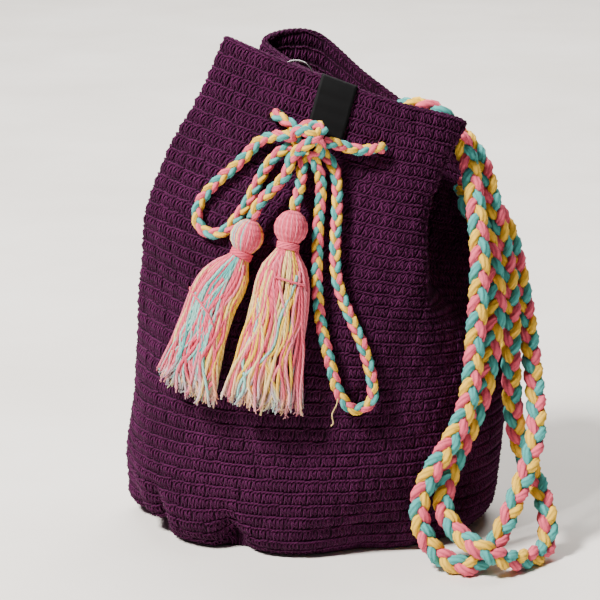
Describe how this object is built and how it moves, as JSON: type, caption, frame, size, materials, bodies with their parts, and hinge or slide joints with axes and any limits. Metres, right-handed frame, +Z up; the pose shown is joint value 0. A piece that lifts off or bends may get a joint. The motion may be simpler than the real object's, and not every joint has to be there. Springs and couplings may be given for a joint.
{
  "type": "potli bag",
  "caption": "Crocheted drawstring bucket bag with a folded-in mouth, a braided drawstring tied in a bow, yarn tassels, braided shoulder handles, a woven label and a metal ring.",
  "frame": {"origin": "under the middle of the bag's box, on the surface that it stands on", "axes": "+X to the right as seen from the front panel, +Y to the back, +Z up"},
  "size_m": [0.2774, 0.2038, 0.3206],
  "materials": {
    "aubergine_crochet": "matt cotton crochet in dark aubergine",
    "black_label": "fine black woven label, plain",
    "nickel_ring": "bright nickel plate",
    "braided_yarn": "plied cotton yarn in pink, mustard and teal, braided",
    "tassel_yarn": "plied cotton yarn, mostly pink with mustard and teal strands"
  },
  "bodies": {
    "bag": {"bag_body": "aubergine_crochet", "label_tab": "black_label", "ring_loop": "aubergine_crochet", "drawstring_knot": "braided_yarn", "drawstring_run": "braided_yarn", "bow_left": "braided_yarn", "bow_right": "braided_yarn", "tail_left": "braided_yarn", "tail_right": "braided_yarn", "strap_front": "braided_yarn", "strap_back": "braided_yarn", "tassel_left": "tassel_yarn", "tassel_right": "tassel_yarn", "neck_binding_left": "tassel_yarn", "neck_binding_right": "tassel_yarn", "loose_yarn_left": "tassel_yarn", "loose_yarn_right": "tassel_yarn"},
    "ring": {"key_ring": "nickel_ring"}
  },
  "joints": [
    {"name": "ring_swing", "type": "hinge", "parent": "bag", "child": "ring", "pos_m": [-0.016, -0.0289, 0.2868], "axis": [-1, 0, 0], "range_deg": [0, 120]}
  ]
}
